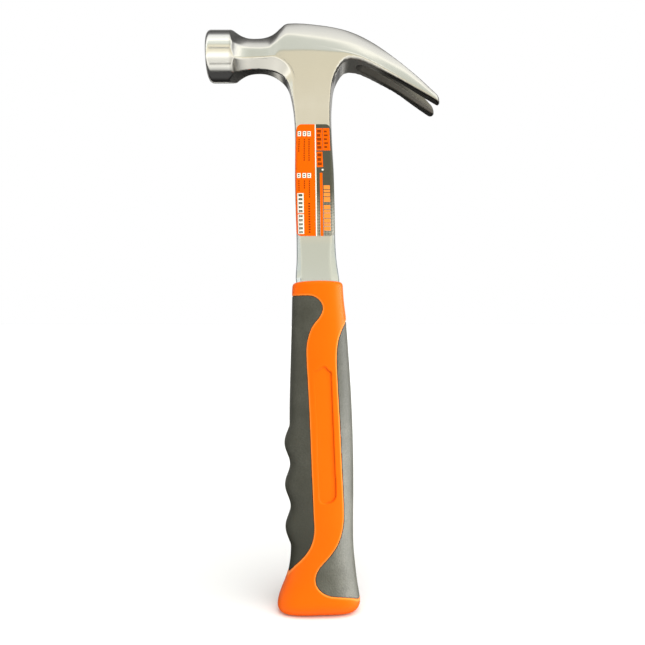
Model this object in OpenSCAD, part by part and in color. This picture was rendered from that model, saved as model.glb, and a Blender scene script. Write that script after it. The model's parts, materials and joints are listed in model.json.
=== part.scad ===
// One-piece forged claw hammer with a moulded two-colour grip.
// Millimetres. The hammer stands on its butt: +Z up, the bell points to -X and the claw to +X.
// The origin is the middle of the footprint, on the plane that the butt rests on.

/* [Overall] */
// Overall height, from the butt to the top of the head
height = 330; // [325:1:335]
// Distance from the middle to the striking face, and to the tips of the claw
head_reach = 64.7; // [64:0.1:66]

/* [Bell] */
// Diameter of the bell
bell_d = 28; // [27:0.5:29]
// Diameter of the flat land in the middle of the striking face
face_land_d = 23; // [20:0.5:25]
// Length of the rounded shoulder between the land and the bell's side
face_shoulder = 2.4; // [1:0.1:3]
// Height of the bell's axis under the top of the head
bell_drop = 16.5; // [16:0.1:17]
// Distance from the middle to the end of the bell's cylinder, on the shank's side
bell_back = 53; // [52:0.5:55]

/* [Cheek and neck] */
// Thickness of the head across the flat cheeks
cheek_w = 21; // [20:0.5:22]
// Width across the flats of the eight-sided neck
neck_af = 16.8; // [16:0.1:18]
// Width of the flat along the top of the head
top_flat_w = 11; // [9:0.5:12]

/* [Claw] */
// Width of the claw across its tips
claw_tip_w = 27.4; // [25:0.2:29]
// Distance from the middle to the closed end of the nail slot
slot_start = 22.5; // [21:0.5:26]
// Width of the nail slot at its closed end
slot_w_root = 1.6; // [1.2:0.1:3]
// Width of the nail slot at the tips
slot_w_tip = 10; // [8:0.2:11]
// Width of the bevel along each lower edge of the nail slot
slot_bevel = 2.6; // [1.5:0.1:3]

/* [Shank and tang] */
// Thickness of the shank under the head, where the label is
shank_t = 10.4; // [9:0.2:12]
// Width of the tang inside the grip
tang_w = 15; // [12:0.5:16]
// Thickness of the tang inside the grip
tang_t = 7; // [5:0.5:8]
// Height of the tang's lower end above the butt
tang_bottom = 34; // [30:1:50]
// Diameter of the keying holes through the tang
tang_hole_d = 7; // [4:0.5:8]
// Number of keying holes through the tang
tang_holes = 3; // [1:1:4]

/* [Grip] */
// Height of the collar's top above the butt
grip_top = 186; // [184:1:188]
// Thickness of the grip at the palm
grip_t = 26; // [24:0.5:28]
// Thickness of the butt
butt_t = 29; // [28:0.5:31]
// Depth of the finger grooves
finger_depth = 3; // [2:0.25:4]
// Distance from one finger ridge to the next
finger_pitch = 23.7; // [23:0.1:24.5]
// Height of the middle finger ridge
finger_middle = 71.1; // [70:0.1:72]
// Thickness of the soft pads
pad_t = 2.6; // [2:0.1:3]
// Depth of the pads' surface below the hard plastic round them
pad_step = 0.4; // [0.2:0.1:0.6]
// Depth of the sunk panel in the centre band
panel_depth = 0.6; // [0.4:0.1:1]
// Radius of the round edge under the butt
butt_round = 4.8; // [3:0.2:6]

/* [Label] */
// Thickness of the printed film
label_t = 0.2; // [0.15:0.05:0.3]
// Height of the film's lower edge
label_bottom = 211; // [209:1:214]
// Length of the film along the shank
label_len = 62; // [55:1:64]

/* [Hidden] */
$fn = 96;

steel = [0.78, 0.78, 0.75];
orange = [1.0, 0.48, 0.05];
rubber = [0.33, 0.33, 0.29];
film = [0.93, 0.42, 0.06];

bell_z = height - bell_drop;
bell_r = bell_d / 2;
cheek = cheek_w / 2;
neck = neck_af / 2;

// ---------- Smooth curves through a few key points ----------

// Index of the stretch of curve p that holds t
function stretch(p, t, i = 0) =
    i >= len(p) - 2 || t < p[i + 1][0] ? i : stretch(p, t, i + 1);

// Slope of curve p at its key point i
function slope(p, i) =
    let (a = max(i - 1, 0), b = min(i + 1, len(p) - 1))
    (p[b][1] - p[a][1]) / (p[b][0] - p[a][0]);

// Height of curve p at t: a smooth cubic between neighbouring key points
function at(p, t) =
    let (
        i = stretch(p, t),
        w = p[i + 1][0] - p[i][0],
        u = max(0, min(1, (t - p[i][0]) / w))
    )
    (1 + 2 * u) * pow(1 - u, 2) * p[i][1] + u * pow(1 - u, 2) * w * slope(p, i)
    + u * u * (3 - 2 * u) * p[i + 1][1] - u * u * (1 - u) * w * slope(p, i + 1);

// Evenly spaced values from a to b in n steps
function steps(a, b, n) = [for (i = [0:n]) a + (b - a) * i / n];

// Closed solid through a list of rings, each with the same number of points
module loft(rings) {
    n = len(rings[0]);
    last = len(rings) - 1;
    sides = [for (j = [0:last - 1], i = [0:n - 1])
        let (a = j * n + i, b = j * n + (i + 1) % n)
        each [[a, b, b + n], [a, b + n, a + n]]];
    foot = [for (i = [n - 1:-1:0]) i];
    head = [for (i = [0:n - 1]) last * n + i];
    polyhedron([for (r = rings) each r], concat([foot], sides, [head]), convexity = 8);
}

// ---------- Head: outlines along X, as [x, value] ----------

// Top of the head, under its highest point
TOP = [[-50, -3.8], [-43, -7.2], [-38, -7.5], [-33, -7.1], [-29.5, -6], [-26, -4.4],
    [-22.6, -1.7], [-19, -0.2], [-13, 0], [-3.6, -0.9], [5, -2], [14, -4.2], [23, -8],
    [32, -13.6], [42, -21.6], [49, -28], [55, -34], [60, -40], [head_reach, -46.4]];
// Underside of the neck and the claw, under the head's highest point
UNDER = [[-50, -29.5], [-44, -26.2], [-40.5, -25.2], [-37, -25], [-30, -25.6], [-26.7, -26.7],
    [-23.2, -28.5], [-20, -31.5], [-17, -36], [-15, -38], [4, -38], [6, -34], [8, -28.6],
    [10.5, -24.8], [13.8, -22.7], [18, -22.2],
    [24, -23.8], [31.2, -27.3], [42.6, -33.4], [52.7, -39.8], [head_reach, -47.6]];
// Half the width of the head
HALF = [[-50, neck], [-38, neck], [-31, neck + 0.3], [-26, neck + 1.3], [-21, cheek],
    [34, cheek], [43, cheek + 0.2], [57, claw_tip_w / 2 - 1], [head_reach, claw_tip_w / 2]];
// Half the width of the flat along the top
TOP_FLAT = [[-50, neck * 0.414], [-36, neck * 0.414], [-22, top_flat_w / 2],
    [40, top_flat_w / 2], [head_reach, claw_tip_w / 2 - 5]];
// Depth of the first facet under the top edge
FACET = [[-50, neck * 0.586], [-36, neck * 0.586], [-25, 7], [-20, 8.6], [-12, 8.6], [8, 10],
    [22, 10], [36, 8.7], [50, 5], [60, 2.6], [head_reach, 0.4]];
// Depth of the second, steeper facet under the first
FACET_2 = [[-50, 0.2], [-34, 0.3], [-28, 2], [-25, 4.4], [-20, 7.8], [-6, 6.4], [8, 4.8],
    [22, 3.6], [36, 3.2], [50, 2], [60, 1], [head_reach, 0.3]];
// Depth of the bevel along the lower edges
LOWER = [[-50, neck * 0.586], [-38, neck * 0.586], [-28, 6.4], [-24, 4.6], [-18, 3.9], [8, 1.6],
    [24, 1.2], [52, 0.9], [head_reach, 0.3]];

// Ten-sided cross-section of the head at x
function head_ring(x) =
    let (
        top = height + at(TOP, x),
        under = height + at(UNDER, x),
        half = at(HALF, x),
        z1 = top - at(FACET, x),
        z2 = z1 - at(FACET_2, x),
        z3 = under + at(LOWER, x),
        flat = at(TOP_FLAT, x),
        half_1 = half - min(1.1, at(FACET_2, x) * 0.15),
        foot = half - at(LOWER, x)
    )
    [[x, flat, top], [x, half_1, z1], [x, half, z2], [x, half, min(z3, z2 - 0.2)],
        [x, foot, under], [x, -foot, under], [x, -half, min(z3, z2 - 0.2)],
        [x, -half, z2], [x, -half_1, z1], [x, -flat, top]];

// Neck, cheeks and claw as one smooth bar, before the slot is cut
module head_bar() {
    stations = concat(steps(-50, -20, 20), steps(-17, 8, 5), steps(10, head_reach, 26));
    loft([for (x = stations) head_ring(x)]);
}

// Bell: flat land, rounded shoulder, true cylinder, then a hollow flare down to the neck
module bell() {
    shoulder = [for (a = [90:-10:0])
        [face_land_d / 2 + (bell_r - face_land_d / 2) * cos(a),
            head_reach - face_shoulder * (1 - sin(a))]];
    flare_curve = [[41, bell_r - 6.6], [43.5, bell_r - 5.2], [46.5, bell_r - 3.8],
        [50, bell_r - 1.7], [bell_back, bell_r]];
    flare = [for (x = steps(bell_back, 41, 8)) [at(flare_curve, x), x]];
    translate([0, 0, bell_z])
        rotate([0, -90, 0])
            rotate_extrude()
                polygon(concat([[0, head_reach]], shoulder, flare, [[0, 41]]));
}

// ---------- Shank: half thickness and edges along Z ----------

// Front edge of the shank
FRONT_EDGE = [[180, -13], [187, -15.2], [210, -14.4], [237, -15.5], [275, -15.6], [284, -16.6],
    [291, -17.6], [296, -18.3], [299, -19.4], [302, -21.5], [305, -25]];
// Rear edge of the shank
REAR_EDGE = [[180, 7], [187, 9], [210, 6.6], [237, 6.4], [275, 4.9], [284, 5.2], [291, 5.7],
    [297, 6.5], [301, 8.7], [304, 10.8], [307, 14]];
// Half the thickness of the shank
SHANK_HALF = [[180, shank_t / 2], [250, shank_t / 2], [262, shank_t / 2 + 0.6],
    [275, shank_t / 2 + 1.9], [290, cheek - 1.2], [300, cheek - 0.1], [303, cheek]];
// Width and depth of the bevels along the shank's edges
BEVEL_W = [[180, 4.4], [190, 4.2], [215, 2.2], [240, 1.2], [275, 1], [290, 1.9], [305, 2]];
BEVEL_D = [[180, 3.2], [215, 2], [240, 1.4], [275, 1.6], [290, 3.6], [300, 4.4], [305, 4.6]];

// Eight-sided cross-section of the shank at z, grown by g
function shank_ring(z, g = 0) =
    let (
        a = at(FRONT_EDGE, z) - g,
        b = at(REAR_EDGE, z) + g,
        half = at(SHANK_HALF, z) + g,
        w = at(BEVEL_W, z),
        d = at(BEVEL_D, z)
    )
    [[a, d - half, z], [a, half - d, z], [a + w, half, z], [b - w, half, z],
        [b, half - d, z], [b, d - half, z], [b - w, -half, z], [a + w, -half, z]];

// Shank with its fillets into the neck and the claw
module shank(g = 0) {
    heights = concat(steps(180, 275, 12), steps(279, 291, 4), steps(293, 305, 8));
    loft([for (z = heights) shank_ring(z, g)]);
}

// Tang: flat bar inside the grip, with round ends to its corners and holes that key the plastic
module tang() {
    top = 183;
    hole_gap = (top - tang_bottom - 50) / max(1, tang_holes - 1);
    rotate([90, 0, 0])
        linear_extrude(tang_t, center = true)
            difference() {
                polygon([[-11, top], [7, top], [tang_w / 2 - 0.5, tang_bottom + 3],
                    [tang_w / 2 - 3.5, tang_bottom], [3 - tang_w / 2, tang_bottom],
                    [-tang_w / 2, tang_bottom + 3]]);
                for (i = [0:tang_holes - 1])
                    translate([-0.5 - i * 0.4, tang_bottom + 18 + i * hole_gap])
                        circle(d = tang_hole_d);
            }
}

// ---------- Nail slot ----------

// Half the width of the slot at x
function slot_half(x) =
    (slot_w_root + (slot_w_tip - slot_w_root) * (x - slot_start) / (head_reach - slot_start)) / 2;

// Slot between the tines, with a round closed end
module slot() {
    far = head_reach + 2;
    translate([0, 0, height - 60])
        linear_extrude(70) {
            polygon([[slot_start, -slot_half(slot_start)], [far, -slot_half(far)],
                [far, slot_half(far)], [slot_start, slot_half(slot_start)]]);
            translate([slot_start, 0])
                circle(d = slot_w_root);
        }
}

// Wedge that bevels the lower edges of the slot, growing from nothing ahead of its closed end
module slot_bevels() {
    start = slot_start - 3;
    loft([for (x = steps(start, head_reach + 1, 12))
        let (
            under = height + at(UNDER, min(x, head_reach)),
            b = slot_bevel * min(1, 0.02 + (x - start) / 14),
            half = max(slot_w_root / 2, slot_half(x))
        )
        [[x, half - 0.2 * b, under + 1.2 * b], [x, half + 2 * b, under - b],
            [x, -half - 2 * b, under - b], [x, 0.2 * b - half, under + 1.2 * b]]]);
}

module hammer_forging() {
    color(steel) {
        difference() {
            union() {
                head_bar();
                shank();
            }
            slot();
            slot_bevels();
        }
        bell();
        tang();
    }
}

// ---------- Grip ----------

// Front edge, rear edge and half thickness of the hard plastic along Z
GRIP_FRONT = [[0, -25.9], [5, -25.4], [13, -22.9], [23, -19.5], [34, -18.2], [106, -19.1],
    [119, -18.8], [146, -18.1], [165, -17.6], [176, -17.4], [183, -17.1], [grip_top, -16.8]];
GRIP_REAR = [[0, 22.2], [5, 21.7], [10, 20.9], [16, 19.9], [27, 18.6], [37, 17.7], [50, 17.5],
    [71, 17.7], [95, 17.4], [119, 16.5], [146, 14.8], [165, 13.3], [176, 12], [grip_top, 11.2]];
GRIP_HALF = [[0, butt_t / 2], [6, butt_t / 2 - 0.2], [20, grip_t / 2 - 0.1], [35, grip_t / 2 - 0.4],
    [60, grip_t / 2], [95, grip_t / 2], [140, grip_t / 2 - 1], [162, grip_t / 2 - 1.9],
    [176, grip_t / 2 - 2.6], [grip_top, grip_t / 2 - 3.2]];

// Swell of the finger ridges: three ridges and four hollows, fading out at both ends
function ridge(z) =
    let (
        from_middle = abs(z - finger_middle),
        reach = 1.5 * finger_pitch
    )
    from_middle > reach ? 0
        : finger_depth * (0.5 + 0.5 * cos(360 * (z - finger_middle) / finger_pitch))
            * min(1, (reach - from_middle) / 4);

// How far a round edge of radius r pulls in, at distance s from the flat it meets
function round_in(r, s) = s >= r ? 0 : r - sqrt(r * r - (r - s) * (r - s));

// Oval cross-section of the grip at z, pulled in by d all round
function grip_ring(z, d) =
    let (
        pull = d + round_in(butt_round, z) + round_in(2.2, grip_top - z),
        a = at(GRIP_FRONT, z) - ridge(z) + pull,
        b = at(GRIP_REAR, z) - pull,
        half = at(GRIP_HALF, z) - pull,
        mid = (a + b) / 2,
        square = 0.76
    )
    [for (t = [345:-15:0])
        [mid + (b - a) / 2 * sign(cos(t)) * pow(abs(cos(t)), square),
            half * sign(sin(t)) * pow(abs(sin(t)), square), z]];

// Solid of the grip's outer shape, pulled in by d
module grip_body(d) {
    heights = concat([0, 0.4, 1.2, 2.4, 3.6], steps(5, 30, 6), steps(34, 106, 20),
        steps(114, 178, 7), [182, 183.8, 184.8, 185.5, grip_top]);
    loft([for (z = heights) grip_ring(z, d)]);
}

// Side view of the front pad: it wraps the front edge, and runs down between two tongues
module front_pad_outline() {
    polygon([[-40, 178], [-16, 177.5], [-6, 177.4], [-1.5, 174.8], [0.2, 170.5], [-1.2, 166],
        [-6, 160], [-8.2, 153], [-8.7, 145], [-8, 129], [-7, 107], [-6, 83], [-5, 58], [-4.6, 48],
        [-5.6, 42], [-8.5, 36], [-13, 31.2], [-18, 28.4], [-40, 27.5]]);
}

// Side view of the rear pad: a blunt tongue at the top, and a curl along the butt at the bottom
module rear_pad_outline() {
    polygon([[40, 164], [13, 163.5], [11.6, 158.5], [9, 153.5], [8, 147], [8, 139], [8.8, 120],
        [10, 97], [10.9, 78], [11.7, 60], [11.6, 52.5], [10.4, 45.5], [7.8, 39.5], [4, 33.5],
        [-1.2, 27.8], [-3.6, 23.6], [-3.4, 19.8], [-1.4, 16.2], [3, 13.6], [8, 12.8], [40, 12.8]]);
}

// Side view of the sunk panel in the centre band
module panel_outline() {
    polygon([[-4.6, 134.5], [0.6, 137.6], [4.6, 134.5], [5.4, 120], [6.2, 100], [7.2, 78],
        [7.7, 66], [6.6, 61.6], [2.8, 60.2], [-0.8, 61.4], [-2, 66], [-2.6, 90], [-3.6, 115]]);
}

// Everything that lies over an outline in the side view
module through(half) {
    rotate([90, 0, 0])
        linear_extrude(2 * half, center = true)
            children();
}

// Soft pad under an outline in the side view
module pad() {
    color(rubber)
        difference() {
            intersection() {
                grip_body(pad_step);
                through(30) children();
            }
            grip_body(pad_step + pad_t);
        }
}

// Everything outside the depth d, under an outline in the side view
module pocket(d) {
    difference() {
        through(30) children();
        grip_body(d);
    }
}

module front_grip_pad() {
    pad() front_pad_outline();
}

module rear_grip_pad() {
    pad() rear_pad_outline();
}

module grip_core() {
    color(orange)
        difference() {
            grip_body(0);
            pocket(pad_step + pad_t) {
                front_pad_outline();
                rear_pad_outline();
            }
            pocket(panel_depth)
                panel_outline();
            shank();
            tang();
        }
}

// ---------- Label ----------

module shank_label() {
    color(film)
        intersection() {
            difference() {
                shank(label_t);
                shank();
            }
            translate([-20, -20, label_bottom])
                cube([40, 19, label_len]);
        }
}

hammer_forging();
grip_core();
front_grip_pad();
rear_grip_pad();
shank_label();
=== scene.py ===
"""Visual model of the claw hammer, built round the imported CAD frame.

The forging, the grip and the pads are modelled as smooth fields and meshed here, in
millimetres, then turned into metres. X runs along the head (bell at -X, claw at +X), Y
across the thickness and Z up from the butt, as in the CAD model.
"""

import json
import math

import bpy
import numpy as np
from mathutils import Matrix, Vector


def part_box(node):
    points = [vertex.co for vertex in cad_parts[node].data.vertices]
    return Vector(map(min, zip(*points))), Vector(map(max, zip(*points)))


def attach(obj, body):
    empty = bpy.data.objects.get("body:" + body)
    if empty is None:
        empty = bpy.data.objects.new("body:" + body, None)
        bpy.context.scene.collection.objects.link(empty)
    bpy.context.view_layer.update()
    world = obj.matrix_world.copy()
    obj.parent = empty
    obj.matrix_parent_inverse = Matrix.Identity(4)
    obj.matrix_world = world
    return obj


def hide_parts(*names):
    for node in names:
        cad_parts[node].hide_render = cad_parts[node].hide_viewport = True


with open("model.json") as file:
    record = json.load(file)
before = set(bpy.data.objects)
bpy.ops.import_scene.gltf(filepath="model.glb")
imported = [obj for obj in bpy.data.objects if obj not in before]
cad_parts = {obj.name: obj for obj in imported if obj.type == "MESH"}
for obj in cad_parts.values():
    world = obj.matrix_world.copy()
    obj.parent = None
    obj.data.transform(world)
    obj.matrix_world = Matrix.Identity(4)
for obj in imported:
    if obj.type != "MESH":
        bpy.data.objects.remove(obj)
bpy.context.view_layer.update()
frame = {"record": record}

MM = 0.001

# ---------------------------------------------------------------- driving sizes, in mm

forging_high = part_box("hammer_forging")[1]
label_low, label_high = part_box("shank_label")

HEIGHT = forging_high.z / MM
REACH = forging_high.x / MM
GRIP_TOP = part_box("grip_core")[1].z / MM
bell_mount = next(m for m in frame["record"]["mounts"] if m["name"] == "bell")
BELL_Z = bell_mount["pos_m"][2] / MM
BELL_R = bell_mount["dims"]["r_mm"]

FACE_ROUND = 2.6      # round shoulder of the striking face
CHEEK = 10.5          # half thickness at the cheeks
FINGER_DEPTH = 3.0
FINGER_PITCH = 23.7
FINGER_MIDDLE = 71.1
PAD_STEP = 0.2        # the pads' surface lies this far under the hard plastic
PAD_DEPTH = 3.0       # depth of the pads' pockets
PAD_GAP = 0.03        # clearance round a pad in its pocket
PAD_EDGE = 0.15       # rounding of the pads' outer edges
POCKET_EDGE = 0.5     # rounding of the plastic's edges along the pockets
PANEL_DEPTH = 0.8
PANEL_TILT = 0.1      # the sunk panel gets deeper toward the claw side
BUTT_ROUND = 5.2
BUTT_LIFT = 0.1       # how much rounder the butt's lower edge gets toward the claw side
BUTT_FRONT = 3.2      # how much rounder it is on the near and far sides
COLLAR_ROUND = 1.9
COLLAR_DOME = 0.004   # how fast the collar's top falls toward its ends
COLLAR_MIDDLE = 2.5   # where its top is highest, from the grip's middle
TANG_HALF = 3.5

# ---------------------------------------------------------------- curves and fields


def slopes(keys):
    """Slope at each key row of a curve, from its neighbours."""
    t, v = keys[:, 0], keys[:, 1:]
    n = len(t)
    a = np.maximum(np.arange(n) - 1, 0)
    b = np.minimum(np.arange(n) + 1, n - 1)
    return (v[b] - v[a]) / (t[b] - t[a])[:, None]


def curve(keys, t):
    """Values at t of the smooth cubic through rows [t, value, ...], held at both ends."""
    keys = np.asarray(keys, float)
    t = np.asarray(t, float)
    m = slopes(keys)
    i = np.clip(np.searchsorted(keys[:, 0], t, side="right") - 1, 0, len(keys) - 2)
    w = keys[i + 1, 0] - keys[i, 0]
    u = np.clip((t - keys[i, 0]) / w, 0, 1)
    u, w = u[..., None], w[..., None]
    out = ((1 + 2 * u) * (1 - u) ** 2 * keys[i, 1:] + u * (1 - u) ** 2 * w * m[i]
           + u * u * (3 - 2 * u) * keys[i + 1, 1:] - u * u * (1 - u) * w * m[i + 1])
    return out[..., 0] if out.shape[-1] == 1 else out


def spline(rows, step=0.7, closed=False):
    """Dense rows along the smooth path through rows [x, z, ...]."""
    rows = np.asarray(rows, float)
    if closed:
        rows = np.vstack([rows[-2:], rows, rows[:3]])
    chord = np.r_[0, np.cumsum(np.hypot(*np.diff(rows[:, :2], axis=0).T))]
    first, last = (chord[2], chord[-3]) if closed else (chord[0], chord[-1])
    t = np.linspace(first, last, max(8, int((last - first) / step)))
    return curve(np.column_stack([chord, rows]), t)


def along(path, close, px, pz):
    """Signed distance from points to a path (negative inside the loop that the path and
    the closing points make), and the path's other columns at the nearest place."""
    path = np.asarray(path, np.float32)
    px, pz = np.asarray(px, np.float32), np.asarray(pz, np.float32)
    loop = np.vstack([path[:, :2], np.reshape(close, (-1, 2))]).astype(np.float32)
    ahead = np.roll(loop, -1, axis=0)
    start, step = path[:-1], np.diff(path, axis=0)
    length2 = (step[:, :2] ** 2).sum(1)
    extra = path.shape[1] - 2
    distance = np.empty(len(px))
    other = np.empty((len(px), extra))
    for k in range(0, len(px), 1000):
        part = slice(k, k + 1000)
        x, z = px[part, None], pz[part, None]
        u = np.clip(((x - start[:, 0]) * step[:, 0] + (z - start[:, 1]) * step[:, 1]) / length2, 0, 1)
        d2 = (x - start[:, 0] - u * step[:, 0]) ** 2 + (z - start[:, 1] - u * step[:, 1]) ** 2
        best = d2.argmin(1)
        row = np.arange(len(best))
        span = (loop[:, 1] > z) != (ahead[:, 1] > z)
        rise = np.where(ahead[:, 1] == loop[:, 1], 1, ahead[:, 1] - loop[:, 1])
        hit = span & (x < loop[:, 0] + (ahead[:, 0] - loop[:, 0]) * (z - loop[:, 1]) / rise)
        sign = np.where(hit.sum(1) % 2 == 1, -1, 1)
        distance[part] = sign * np.sqrt(d2[row, best])
        ub = u[row, best][:, None]
        other[part] = start[best, 2:] + ub * step[best, 2:]
    return distance, other.T


def both(a, b, k):
    """Inside a and b, with the edge between them rounded over about k."""
    h = np.maximum(k - np.abs(a - b), 0) / k
    return np.maximum(a, b) + h * h * k * 0.25


def surface_nets(field, axes):
    """Closed quad mesh of field = 0 on a grid with the given axes: vertices, unit normals, quads."""
    inside = field < 0
    n = np.array(field.shape) - 1
    corners = [(a, b, c) for a in (0, 1) for b in (0, 1) for c in (0, 1)]
    view = [inside[a:a + n[0], b:b + n[1], c:c + n[2]] for a, b, c in corners]
    some, every = view[0].copy(), view[0].copy()
    for v in view[1:]:
        some |= v
        every &= v
    cell = np.argwhere(some & ~every)
    number = np.full(some.shape, -1, np.int64)
    number[tuple(cell.T)] = np.arange(len(cell))
    value = {c: field[tuple((cell + c).T)] for c in corners}
    total, count = np.zeros((len(cell), 3)), np.zeros(len(cell))
    for a in corners:
        for axis in range(3):
            if a[axis]:
                continue
            b = tuple(1 if i == axis else a[i] for i in range(3))
            va, vb = value[a], value[b]
            cross = (va < 0) != (vb < 0)
            place = np.tile(np.array(a, float), (len(cell), 1))
            place[:, axis] = va / np.where(cross, va - vb, 1)
            total[cross] += place[cross]
            count += cross
    inner = total / count[:, None]
    base = np.stack([axis[c] for axis, c in zip(axes, cell.T)], axis=1)
    step = np.stack([axis[c + 1] for axis, c in zip(axes, cell.T)], axis=1) - base
    gradient = np.zeros_like(inner)
    for axis in range(3):
        u, v = [i for i in range(3) if i != axis]
        for a in corners:
            if a[axis]:
                continue
            b = tuple(1 if i == axis else a[i] for i in range(3))
            wu = inner[:, u] if a[u] else 1 - inner[:, u]
            wv = inner[:, v] if a[v] else 1 - inner[:, v]
            gradient[:, axis] += wu * wv * (value[b] - value[a]) / step[:, axis]
    gradient /= np.maximum(np.linalg.norm(gradient, axis=1), 1e-9)[:, None]
    quads = []
    for axis in range(3):
        u, v = (axis + 1) % 3, (axis + 2) % 3
        low = [slice(None)] * 3
        high = [slice(None)] * 3
        low[axis], high[axis] = slice(0, -1), slice(1, None)
        for w in (u, v):
            low[w] = high[w] = slice(1, -1)
        was, now = inside[tuple(low)], inside[tuple(high)]
        at = np.argwhere(was != now)
        outward = was[tuple(at.T)]
        at[:, u] += 1
        at[:, v] += 1
        du, dv = np.eye(3, dtype=int)[u], np.eye(3, dtype=int)[v]
        ring = np.stack([number[tuple((at - a * du - b * dv).T)]
                         for a, b in ((1, 1), (0, 1), (0, 0), (1, 0))], axis=1)
        ring[~outward] = ring[~outward][:, ::-1]
        quads.append(ring)
    return base + inner * step, gradient, np.vstack(quads)


def mesh_object(name, verts, quads, normals=None):
    """Object in metres from vertices in millimetres, shaded smooth."""
    mesh = bpy.data.meshes.new(name)
    mesh.vertices.add(len(verts))
    mesh.vertices.foreach_set("co", (np.asarray(verts) * MM).astype(np.float32).ravel())
    quads = np.asarray(quads, np.int32)
    mesh.loops.add(quads.size)
    mesh.loops.foreach_set("vertex_index", quads.ravel())
    mesh.polygons.add(len(quads))
    mesh.polygons.foreach_set("loop_start", np.arange(0, quads.size, quads.shape[1], dtype=np.int32))
    mesh.polygons.foreach_set("use_smooth", np.ones(len(quads), bool))
    mesh.update(calc_edges=True)
    mesh.validate()
    if normals is not None:
        mesh.normals_split_custom_set_from_vertices(normals.astype(np.float32))
    obj = bpy.data.objects.new(name, mesh)
    bpy.context.scene.collection.objects.link(obj)
    return obj


def ticks(*stops):
    """Grid axis through stops (start, step), (end of that step, next step), ... (end,)."""
    parts = []
    for (a, step), (b, *_) in zip(stops[:-1], stops[1:]):
        parts.append(np.linspace(a, b, max(2, round((b - a) / step) + 1))[:-1])
    return np.concatenate(parts + [[stops[-1][0]]])


class Grid:
    """Grid over a box. Only the (x, z) columns near the solid's side view are worked out."""

    def __init__(self, x_ticks, y_ticks, z_ticks):
        self.axes = [x_ticks, y_ticks, z_ticks]
        x, z = np.meshgrid(x_ticks, z_ticks, indexing="ij")
        self.x, self.z = x.ravel(), z.ravel()
        self.shape = (len(self.axes[0]), len(self.axes[2]), len(self.axes[1]))

    def mesh(self, name, near, field):
        """near(x, z) marks the columns to work out, and field(x, z, y) is the solid."""
        keep = near(self.x, self.z)
        values = np.full((len(self.x), self.shape[2]), 5.0, np.float32)
        values[keep] = field(self.x[keep], self.z[keep], self.axes[1][None, :])
        cube = values.reshape(self.shape).transpose(0, 2, 1)
        verts, normals, quads = surface_nets(cube, self.axes)
        return mesh_object(name, verts, quads, normals)


# ---------------------------------------------------------------- forging

# Top outline of the head: x, z
TOP = [
    (-68, 341), (-60, 333.6), (-56.5, 330.4), (-53.3, 327.9), (-49.7, 325.7), (-46.3, 323.8),
    (-42.9, 322.8), (-39.6, 322.5), (-36.2, 322.6), (-32.8, 323), (-29.5, 323.9), (-26, 325.3),
    (-23.2, 327.6), (-21.3, 329.2), (-19.2, 329.9), (-12.6, 330), (-3.6, 329.2), (5, 328),
    (14, 325.8), (23, 322), (32, 316.4), (42, 308.4), (49, 302), (55, 296.1), (60, 290.8),
    (63, 287.7), (66, 284.6), (70, 280.5),
]
# Half width of the top flat, along x
FLAT = [
    (-68, 10), (-56.5, 6.9), (-49.7, 6.0), (-42.9, 3.7), (-36.2, 3.1), (-29.5, 3.4), (-25, 5.3),
    (-21.3, 5.5), (-12.6, 5.5), (22, 5.6), (32, 6.2), (42, 7.6), (49, 9), (55, 10.3), (60, 11.4),
    (65, 12.4),
]
# Crease between the two facets of each side: x, z, inset from the cheek
CREASE = [
    (-68, 325, 0.04), (-56.5, 320.5, 0.1), (-49.7, 316.9, 0.5), (-44, 315.5, 0.9), (-36, 315.1, 1),
    (-30.5, 315.5, 0.92), (-27.9, 316.6, 0.75), (-25.5, 318.2, 0.75), (-23, 319.9, 0.9),
    (-19.9, 321.3, 1.15), (-16, 321.3, 1.15), (-9.2, 320.1, 1.05), (-4, 319.4, 1), (5, 317.8, 0.9),
    (15.2, 315.4, 0.85), (21.8, 313, 0.85), (36.2, 305.4, 0.85), (50, 295.4, 0.8), (60, 287.3, 0.6),
    (66, 281.6, 0.5),
]
# Foot of the lower facet, where the flat cheek begins: x, z
FOOT = [
    (-68, 314), (-52, 309), (-44, 306.5), (-32, 306.5), (-28, 308.6), (-24.4, 312.4),
    (-18.8, 312.6), (-4, 312.6), (8, 312), (15.1, 311.4), (21.7, 309.6), (28, 306), (36, 300),
    (50, 289.5), (60, 281.8), (66, 276.5),
]
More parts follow.
